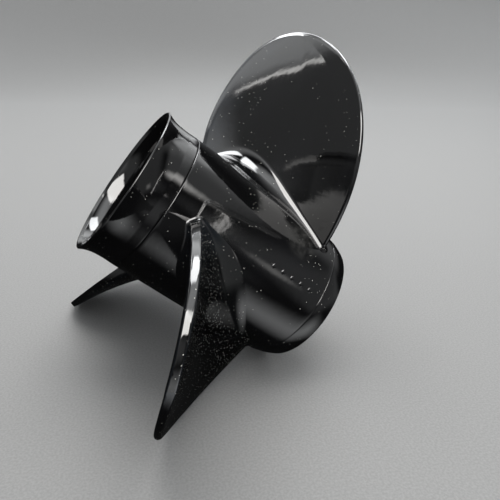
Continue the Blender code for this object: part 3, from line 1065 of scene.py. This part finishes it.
# %% The tree that repeats a piece round the shaft
def build_round_tree():
    """Repeats a mesh round Z. Count is how many, and Turn where the first one lies."""
    inputs = [("Count", "Int", 3), ("Turn", "Float", 0.0), ("Material", "Material", None)]
    tree, start, end = geometry_tree("repeat_round_shaft", inputs)
    do = Sums(tree)
    line = tree.nodes.new("GeometryNodeMeshLine")
    tree.links.new(start.outputs["Count"], line.inputs["Count"])
    line.inputs["Offset"].default_value = (0.0, 0.0, 0.0)
    copies = tree.nodes.new("GeometryNodeInstanceOnPoints")
    tree.links.new(line.outputs["Mesh"], copies.inputs["Points"])
    tree.links.new(start.outputs["Geometry"], copies.inputs["Instance"])
    index = tree.nodes.new("GeometryNodeInputIndex").outputs[0]
    part = do("DIVIDE", do("MULTIPLY", index, 2.0 * math.pi), start.outputs["Count"])
    angle = tree.nodes.new("ShaderNodeCombineXYZ")
    tree.links.new(do("ADD", part, start.outputs["Turn"]), angle.inputs["Z"])
    tree.links.new(angle.outputs[0], copies.inputs["Rotation"])
    finish_tree(tree, copies.outputs["Instances"], start, end)
    return tree


ROUND_SHAFT = build_round_tree()
print("the repeating tree has", len(ROUND_SHAFT.nodes), "nodes")

# %% Webs with fillets
WEB_COUNT = 3
WEB_THICKNESS = 0.0046
WEB_FRONT = 0.0140
WEB_REAR = 0.0780
WEB_FILLET = 0.0030
WEB_EDGE = 0.0014


def web_half_outline(station):
    """Half of a web's outline at one station, from the inner hub to the barrel, as (x, y)."""
    half = 0.5 * WEB_THICKNESS
    inner = math.sqrt(INNER_HUB_RADIUS ** 2 - half ** 2)
    outer = math.sqrt(bore_radius(station) ** 2 - half ** 2)
    fillets = [0.5 * math.pi * i / 8 for i in range(9)]
    points = []
    for turn in fillets:
        points.append((inner - 0.0004 + WEB_FILLET * (1.0 - math.cos(turn)),
                       half + WEB_FILLET * (1.0 - math.sin(turn))))
    for turn in reversed(fillets):
        points.append((outer + 0.0004 - WEB_FILLET * (1.0 - math.cos(turn)),
                       half + WEB_FILLET * (1.0 - math.sin(turn))))
    return points


def make_web():
    rows = []
    turns = [0.5 * math.pi * i / 6 for i in range(7)]
    ends = [(WEB_EDGE * (1.0 - math.cos(turn)), WEB_EDGE * (1.0 - math.sin(turn))) for turn in turns]
    stations = [(WEB_FRONT + rise, cut) for rise, cut in ends]
    stations += [(WEB_REAR - rise, cut) for rise, cut in reversed(ends)]
    for station, cut in stations:
        half = [(x, max(y - cut, 0.0005)) for x, y in web_half_outline(station)]
        loop = half + [(x, -y) for x, y in reversed(half)]
        rows.append([(x, y, station) for x, y in loop])
    mesh = skin("web", rows, wrap=False)
    shape = bmesh.new()
    shape.from_mesh(mesh)
    shape.verts.ensure_lookup_table()
    count = len(rows[0])
    for first in (0, len(shape.verts) - count):
        loop = shape.verts[first:first + count]
        for i in range(count // 2 - 1):
            shape.faces.new((loop[i], loop[i + 1], loop[-i - 2], loop[-i - 1]))
    shape.to_mesh(mesh)
    shape.free()
    return mesh


webs = grown("webs", make_web(), ROUND_SHAFT, Count=WEB_COUNT, Turn=WEB_TURN, Material=PAINT)
web_nodes = [f"web_{number}" for number in range(1, WEB_COUNT + 1)]
place("webs", webs, [PAINT], web_nodes)

# %% [markdown]
# ## Parting lines and casting pips
#
# A propeller is cast in a die that opens along a line. The line follows the edges of the blades,
# and on the barrel it runs from the root of one trailing edge towards the next blade's leading
# edge. It stays as a low welt, with a few fine lines along it where it was dressed. It is drawn
# as a flat strip along a path with one round corner. The tree of the blades then wraps it on the
# barrel, with no pitch, and the repeating tree sets it three times. A row of plain round pips, as
# a foundry leaves them, stands beside the first.

# %% A strip along a path
PATH_STEP = 0.0006


def walk(corners):
    """Evenly spaced points of a path with rounded corners, and the path's direction at each."""
    line = rounded(corners, steps=12)
    ends = [0.0]
    for before, after in zip(line, line[1:]):
        ends.append(ends[-1] + (after - before).length)
    points = []
    k = 0
    count = round(ends[-1] / PATH_STEP)
    for i in range(count + 1):
        distance = ends[-1] * i / count
        while k < len(line) - 2 and ends[k + 1] < distance:
            k += 1
        points.append(line[k].lerp(line[k + 1], (distance - ends[k]) / (ends[k + 1] - ends[k])))
    ways = [(points[min(i + 1, count)] - points[max(i - 1, 0)]).normalized() for i in range(count + 1)]
    return points, ways


def closed_skin(name, rows):
    """A skin over rows that is closed with one face at each end."""
    mesh = skin(name, rows, wrap=False)
    shape = bmesh.new()
    shape.from_mesh(mesh)
    shape.verts.ensure_lookup_table()
    count = len(rows[0])
    shape.faces.new(shape.verts[:count])
    shape.faces.new(shape.verts[len(shape.verts) - count:])
    shape.to_mesh(mesh)
    shape.free()
    return mesh


# %% The parting lines
PARTING_TURN = math.radians(-81.6)
PARTING_START = math.radians(-99.0)
PARTING_DRIFT = math.radians(9.0)
PARTING_STATION = 0.0926
PARTING_END = 0.0440
PARTING_CORNER = 0.0036
PARTING_HEIGHT = 0.00030
PARTING_WIDTHS = (0.0005, 0.0013)
PARTING_WIDENING = 0.0170
PARTING_LINES = 3
PARTING_FADE = 0.0200
PARTING_BURIED = 0.0003


def welt_height(across):
    """Height of the welt's section, for across from -1 to 1: a low crown with lines along it."""
    crown = (1.0 - across * across) ** 0.5
    return crown * (0.72 + 0.28 * math.cos(math.pi * PARTING_LINES * across))


def make_parting_line():
    """The welt in the unrolled drawing: X round the barrel, Y along it and Z over it."""
    corners = [
        (BARREL_RADIUS * PARTING_START, PARTING_STATION, 0.0),
        (BARREL_RADIUS * PARTING_TURN, PARTING_STATION, PARTING_CORNER),
        (BARREL_RADIUS * (PARTING_TURN + PARTING_DRIFT), PARTING_END, 0.0),
    ]
    points, ways = walk(corners)
    rows = []
    for i, (point, way) in enumerate(zip(points, ways)):
        gone = i * PATH_STEP
        left = (len(points) - 1 - i) * PATH_STEP
        half = ease(*PARTING_WIDTHS, min(gone / PARTING_WIDENING, 1.0))
        rise = PARTING_HEIGHT * min(left / PARTING_FADE, 1.0)
        side = Vector((-way.y, way.x))
        top = [point + side * half * across for across in spread(-1.0, 1.0, 25)]
        heights = [rise * welt_height(across) - 0.00004 for across in spread(-1.0, 1.0, 25)]
        row = [(spot.x, spot.y, height) for spot, height in zip(top, heights)]
        row += [(spot.x, spot.y, -PARTING_BURIED) for spot in (top[-1], top[0])]
        rows.append(row)
    return closed_skin("parting_line", rows)


ON_BARREL = dict(SCREW_SIZES, Pitch=0.0, Station=0.0, Rake_Slope=0.0, Rake_Curve=0.0, Skew_Root=0.0,
                 Skew_Tip=0.0, Skew_Power=1.0, Turn=0.0)
welt = grown("parting_line", make_parting_line(), SCREW, **ON_BARREL)
welts = grown("parting_lines", welt, ROUND_SHAFT, Count=BLADE_COUNT, Turn=0.0, Material=PAINT)
place("parting_lines", welts, [PAINT], [], 60.0)

# %% A row of pips
PIP_COUNT = 5
PIP_RADIUS = 0.0013
PIP_HEIGHT = 0.00045
PIP_SPACING = 0.0062
PIP_TURN = math.radians(-94.0)
PIP_START = 0.0200


def make_pip():
    """One round pip: a low dome with a short skirt that goes into the barrel's wall."""
    rows = [[(PIP_RADIUS * math.cos(turn), PIP_RADIUS * math.sin(turn), -PARTING_BURIED)
             for turn in spread(0.0, 2.0 * math.pi, 33)[:-1]]]
    for rise in spread(0.0, 0.5 * math.pi, 9)[:-1]:
        reach, height = PIP_RADIUS * math.cos(rise), PIP_HEIGHT * math.sin(rise)
        rows.append([(reach * math.cos(turn), reach * math.sin(turn), height)
                     for turn in spread(0.0, 2.0 * math.pi, 33)[:-1]])
    return closed_skin("pip", rows)


def build_row_tree():
    """Sets a mesh in a row along Y. Start is the first one's place, and Spacing the step to the next."""
    inputs = [("Count", "Int", 5), ("Spacing", "Float", 0.01), ("Start", "Vector", None),
              ("Material", "Material", None)]
    tree, start, end = geometry_tree("row_of_pips", inputs)
    line = tree.nodes.new("GeometryNodeMeshLine")
    tree.links.new(start.outputs["Count"], line.inputs["Count"])
    tree.links.new(start.outputs["Start"], line.inputs["Start Location"])
    step = tree.nodes.new("ShaderNodeCombineXYZ")
    tree.links.new(start.outputs["Spacing"], step.inputs["Y"])
    tree.links.new(step.outputs[0], line.inputs["Offset"])
    copies = tree.nodes.new("GeometryNodeInstanceOnPoints")
    tree.links.new(line.outputs["Mesh"], copies.inputs["Points"])
    tree.links.new(start.outputs["Geometry"], copies.inputs["Instance"])
    finish_tree(tree, copies.outputs["Instances"], start, end)
    return tree


ROW = build_row_tree()
flat_pips = grown("pips", make_pip(), ROW, Count=PIP_COUNT, Spacing=PIP_SPACING,
                  Start=(BARREL_RADIUS * PIP_TURN, PIP_START, 0.0), Material=PAINT)
place("casting_pips", grown("pips", flat_pips, SCREW, **ON_BARREL), [PAINT], [], 60.0)

# %% [markdown]
# ## The floor and the backdrop
#
# The propeller lies on a plain pale sweep: a floor that curves up behind into a backdrop, so that
# no line crosses the picture.

# %% A seamless sweep
FLOOR_HALF_WIDTH = 3.0
FLOOR_FRONT = -2.5
BEND_START = 1.1
BEND_RADIUS = 0.9
WALL_TOP = 2.4


def make_sweep():
    bend = [0.5 * math.pi * i / 24 for i in range(25)]
    side = [(FLOOR_FRONT, 0.0)]
    side += [(BEND_START + BEND_RADIUS * math.sin(turn), BEND_RADIUS * (1.0 - math.cos(turn))) for turn in bend]
    side.append((BEND_START + BEND_RADIUS, WALL_TOP))
    points = [(x, y, z) for y, z in side for x in (-FLOOR_HALF_WIDTH, FLOOR_HALF_WIDTH)]
    faces = [(2 * i, 2 * i + 1, 2 * i + 3, 2 * i + 2) for i in range(len(side) - 1)]
    mesh = bpy.data.meshes.new("sweep")
    mesh.from_pydata(points, [], faces)
    mesh.shade_smooth()
    return mesh


def make_sweep_finish():
    material, tree, shader = new_material("pale_sweep", 0.5, 0.0)
    coords = tree.nodes.new("ShaderNodeTexCoord").outputs["Object"]
    grain = noise_node(tree, coords, 900.0, 2.0)
    speck = range_node(tree, grain, 0.35, 0.65)
    tree.links.new(mix_colours(tree, speck, (0.42, 0.42, 0.42), (0.50, 0.50, 0.50)), shader.inputs["Base Color"])
    bump_into(tree, shader, grain, 0.3, 0.0003)
    return material


sweep = bpy.data.objects.new("sweep", make_sweep())
sweep.data.materials.append(make_sweep_finish())
bpy.context.scene.collection.objects.link(sweep)
print("the sweep is", 2 * FLOOR_HALF_WIDTH, "m wide")

# %% [markdown]
# ## Light
#
# Gloss black shows nothing but reflections, so the lights are placed by what the paint should
# mirror: one large soft panel behind the camera, one overhead, and a tall one at the left. They
# shine on the propeller alone, by light linking, because panels bright enough to show white in
# black paint would burn out a pale floor. The floor has a soft light of its own.

# %% Place a light by its direction
LIGHT_TARGET = Vector((0.0, 0.0, 0.06))


def direction(azimuth, elevation):
    """A direction in the room: azimuth 0 looks along +Y, 90 along +X."""
    turn, tilt = math.radians(azimuth), math.radians(elevation)
    return Vector((math.sin(turn) * math.cos(tilt), math.cos(turn) * math.cos(tilt), math.sin(tilt)))


def soften_edges(lamp, width, height, soft):
    """Let a panel's glow fade out over its last few centimetres, as the cloth of a softbox does."""
    lamp.use_nodes = True
    tree = lamp.node_tree
    glow = next(node for node in tree.nodes if node.type == "EMISSION")
    place_on_panel = tree.nodes.new("ShaderNodeSeparateXYZ")
    tree.links.new(tree.nodes.new("ShaderNodeNewGeometry").outputs["Parametric"], place_on_panel.inputs[0])
    shares = []
    for axis, length in (("X", width), ("Y", height)):
        off_middle = math_node(tree, "ABSOLUTE", math_node(tree, "SUBTRACT", place_on_panel.outputs[axis], 0.5))
        inside = math_node(tree, "MULTIPLY", math_node(tree, "SUBTRACT", 0.5, off_middle), length)
        share = tree.nodes.new("ShaderNodeMapRange")
        share.interpolation_type = "SMOOTHSTEP"
        share.inputs["From Max"].default_value = soft
        tree.links.new(inside, share.inputs["Value"])
        shares.append(share.outputs["Result"])
    tree.links.new(math_node(tree, "MULTIPLY", *shares), glow.inputs["Strength"])


def add_panel(name, azimuth, elevation, spread_across, spread_up, radiance, colour, soft, receivers):
    """A rectangular soft light that looks at the propeller. Its two spreads are angles in degrees."""
    lamp = bpy.data.lights.new(name, "AREA")
    lamp.shape = "RECTANGLE"
    lamp.size = 2.0 * PANEL_DISTANCE * math.tan(math.radians(0.5 * spread_across))
    lamp.size_y = 2.0 * PANEL_DISTANCE * math.tan(math.radians(0.5 * spread_up))
    lamp.energy = radiance * math.pi * lamp.size * lamp.size_y
    lamp.color = colour
    if soft:
        soften_edges(lamp, lamp.size, lamp.size_y, soft)
    panel = bpy.data.objects.new(name, lamp)
    bpy.context.scene.collection.objects.link(panel)
    towards = direction(azimuth, elevation)
    turn = towards.to_track_quat("Z", "Y").to_matrix().to_4x4()
    panel.matrix_world = Matrix.Translation(LIGHT_TARGET + towards * PANEL_DISTANCE) @ turn
    panel.visible_camera = False
    if receivers:
        panel.light_linking.receiver_collection = receivers
    return panel


# %% The panels
PANEL_DISTANCE = 1.3


def collection_of(name, objects):
    """A collection that holds the given objects, for light linking."""
    group = bpy.data.collections.new(name)
    for item in objects:
        group.objects.link(item)
    return group


painted = [item for item in bpy.data.objects if item.type == "MESH" and item is not sweep]
PROPELLER = collection_of("lit_propeller", painted)
STAGE = collection_of("lit_stage", [sweep])

WARM = (1.0, 0.985, 0.96)
COOL = (0.97, 0.985, 1.0)
PANELS = (
    ("behind_camera", 182.0, 41.0, 46.0, 42.0, 18.0, WARM, 0.10),
    ("overhead", 35.0, 62.0, 24.0, 32.0, 18.0, COOL, 0.10),
    ("far_left", -20.0, 55.0, 21.0, 30.0, 16.0, COOL, 0.10),
    ("near_right", 131.0, 40.0, 17.0, 24.0, 6.0, WARM, 0.20),
    ("low_right", 144.0, 4.0, 12.0, 12.0, 1.6, WARM, 0.12),
    ("far_window", 52.0, 24.0, 13.0, 6.0, 9.0, COOL, 0.05),
)
for name, azimuth, elevation, across, up, radiance, colour, soft in PANELS:
    add_panel(name, azimuth, elevation, across, up, radiance, colour, soft, PROPELLER)


# %% Two kinds of tube
def add_tube(name, first, last, width, radiance, soft):
    """A long thin panel between two directions, each an azimuth and an elevation."""
    start, end = direction(*first), direction(*last)
    middle = (start + end).normalized()
    length = math.degrees(start.angle(end))
    tube = add_panel(name, 0.0, 0.0, length, width, radiance, WARM, soft, PROPELLER)
    right = (end - start).normalized()
    turn = Matrix((right, middle.cross(right), middle)).transposed().to_4x4()
    tube.matrix_world = Matrix.Translation(LIGHT_TARGET + middle * PANEL_DISTANCE) @ turn


TUBES = (
    ("left_tube", (-62.5, 40.5), (-65.0, 51.0), 2.6, 7.0, 0.025),
    ("right_tube", (127.0, 29.0), (157.0, 6.0), 1.5, 7.0, 0.015),
    ("slanted_edge", (154.0, 34.0), (138.0, 50.0), 12.0, 16.0, 0.08),
)
for name, first, last, width, radiance, soft in TUBES:
    add_tube(name, first, last, width, radiance, soft)
add_panel("floor_light", 20.0, 78.0, 60.0, 50.0, 2.7, WARM, 0.3, STAGE)


# %% [markdown]
# Between the panels the paint mirrors the rest of the room: a pale far wall, a dim side, a table
# with a patch of light on it. The world can hold such broad soft glows. One shader group makes a
# glow from a direction and two widths, and the world adds up a few of them. Only mirror rays see
# this room. The floor is left out of the mirror images, so that the paint stays as dark as it is
# on a dark table while the floor itself is pale.

# %% A soft glow in one direction
def build_glow_group():
    """A soft-edged rectangle of light, seen in a direction: 1 inside it and 0 outside."""
    group = bpy.data.node_groups.new("soft_glow", "ShaderNodeTree")
    for label in ("Ahead", "Right", "Up"):
        group.interface.new_socket(label, in_out="INPUT", socket_type="NodeSocketVector")
    for label in ("Half Across", "Half Up", "Softness"):
        group.interface.new_socket(label, in_out="INPUT", socket_type="NodeSocketFloat")
    group.interface.new_socket("Glow", in_out="OUTPUT", socket_type="NodeSocketFloat")
    start, end = group.nodes.new("NodeGroupInput"), group.nodes.new("NodeGroupOutput")
    view = group.nodes.new("ShaderNodeTexCoord").outputs["Object"]

    def along(label):
        dot = group.nodes.new("ShaderNodeVectorMath")
        dot.operation = "DOT_PRODUCT"
        group.links.new(view, dot.inputs[0])
        group.links.new(start.outputs[label], dot.inputs[1])
        return dot.outputs["Value"]

    ahead = along("Ahead")
    safe = math_node(group, "MAXIMUM", ahead, 0.001)
    glow = math_node(group, "GREATER_THAN", ahead, 0.001)
    for label, limit in (("Right", "Half Across"), ("Up", "Half Up")):
        offset = math_node(group, "ABSOLUTE", math_node(group, "DIVIDE", along(label), safe))
        inside = math_node(group, "SUBTRACT", start.outputs[limit], offset)
        fade = math_node(group, "DIVIDE", inside, start.outputs["Softness"])
        edge = group.nodes.new("ShaderNodeMapRange")
        edge.interpolation_type = "SMOOTHSTEP"
        edge.inputs["From Min"].default_value = -0.5
        edge.inputs["From Max"].default_value = 0.5
        group.links.new(fade, edge.inputs["Value"])
        glow = math_node(group, "MULTIPLY", glow, edge.outputs["Result"])
    group.links.new(glow, end.inputs["Glow"])
    return group


GLOW = build_glow_group()
print("built", GLOW.name)

# %% The room round the panels
MIRRORED_DARK = 0.01
OPEN_LIGHT = 0.45
GLOWS = (
    ("far wall", 0.0, 26.0, 76.0, 40.0, 0.30, 1.4),
    ("far wall, high", 32.0, 40.0, 56.0, 18.0, 0.20, 2.4),
    ("right of the far wall", 62.0, 24.0, 44.0, 34.0, 0.40, 0.5),
    ("ceiling", 112.0, 66.0, 60.0, 26.0, 0.35, 3.6),
    ("right wall", 100.0, 41.0, 46.0, 18.0, 0.16, 0.6),
    ("left, high", -82.0, 66.0, 80.0, 20.0, 0.35, 1.9),
    ("left side", -98.0, 32.0, 84.0, 60.0, 0.40, 0.38),
    ("left of the far panel", -55.0, 43.0, 15.0, 13.0, 0.12, 2.0),
    ("left front", -140.0, 34.0, 26.0, 40.0, 0.40, 0.9),
    ("behind camera", -165.0, 2.0, 60.0, 36.0, 0.40, 0.5),
    ("right side", 118.0, 0.0, 64.0, 44.0, 0.30, 0.35),
    ("table patch", 158.0, -51.0, 56.0, 28.0, 0.60, 2.0),
)


def make_world():
    """The room that the paint mirrors, and an even light for everything else."""
    world = bpy.data.worlds.new("studio")
    world.use_nodes = True
    tree = world.node_tree
    total = MIRRORED_DARK
    for name, azimuth, elevation, across, up, softness, radiance in GLOWS:
        towards = direction(azimuth, elevation)
        turn = towards.to_track_quat("Z", "Y").to_matrix()
        glow = use_group(tree, GLOW, Ahead=towards, Right=turn.col[0], Up=turn.col[1],
                         Half_Across=math.tan(math.radians(0.5 * across)),
                         Half_Up=math.tan(math.radians(0.5 * up)), Softness=softness)
        glow.label = name
        total = math_node(tree, "MULTIPLY_ADD", glow.outputs["Glow"], radiance, total)
    mirrored = tree.nodes.new("ShaderNodeLightPath").outputs["Is Glossy Ray"]
    strength = tree.nodes.new("ShaderNodeMix")
    strength.inputs["A"].default_value = OPEN_LIGHT
    tree.links.new(mirrored, strength.inputs["Factor"])
    tree.links.new(total, strength.inputs["B"])
    back = tree.nodes["Background"]
    back.inputs["Color"].default_value = (0.97, 0.99, 1.0, 1.0)
    tree.links.new(strength.outputs["Result"], back.inputs["Strength"])
    bpy.context.scene.world = world


make_world()
sweep.visible_glossy = False
bpy.context.scene.view_settings.view_transform = "Standard"

# %% [markdown]
# ## The camera
#
# The camera stands where the photograph was taken from, a little to the left and above, about
# 30 cm away, and leans over by two degrees.

# %% Place the camera
CAMERA_PLACE = Vector((-0.0303, -0.2696, 0.1791))
CAMERA_RIGHT = Vector((0.9816, -0.1872, 0.0365))
CAMERA_UP = Vector((0.0373, 0.3762, 0.9258))
LENS_MM = 39.0


def make_camera():
    camera = bpy.data.cameras.new("camera")
    camera.lens = LENS_MM
    camera.sensor_width = 36.0
    camera.clip_start = 0.01
    viewer = bpy.data.objects.new("camera", camera)
    bpy.context.scene.collection.objects.link(viewer)
    right = CAMERA_RIGHT.normalized()
    back = right.cross(CAMERA_UP).normalized()
    turn = Matrix((right, back.cross(right), back)).transposed().to_4x4()
    viewer.matrix_world = Matrix.Translation(CAMERA_PLACE) @ turn
    bpy.context.scene.camera = viewer


make_camera()
print("camera at", [round(value, 3) for value in CAMERA_PLACE])
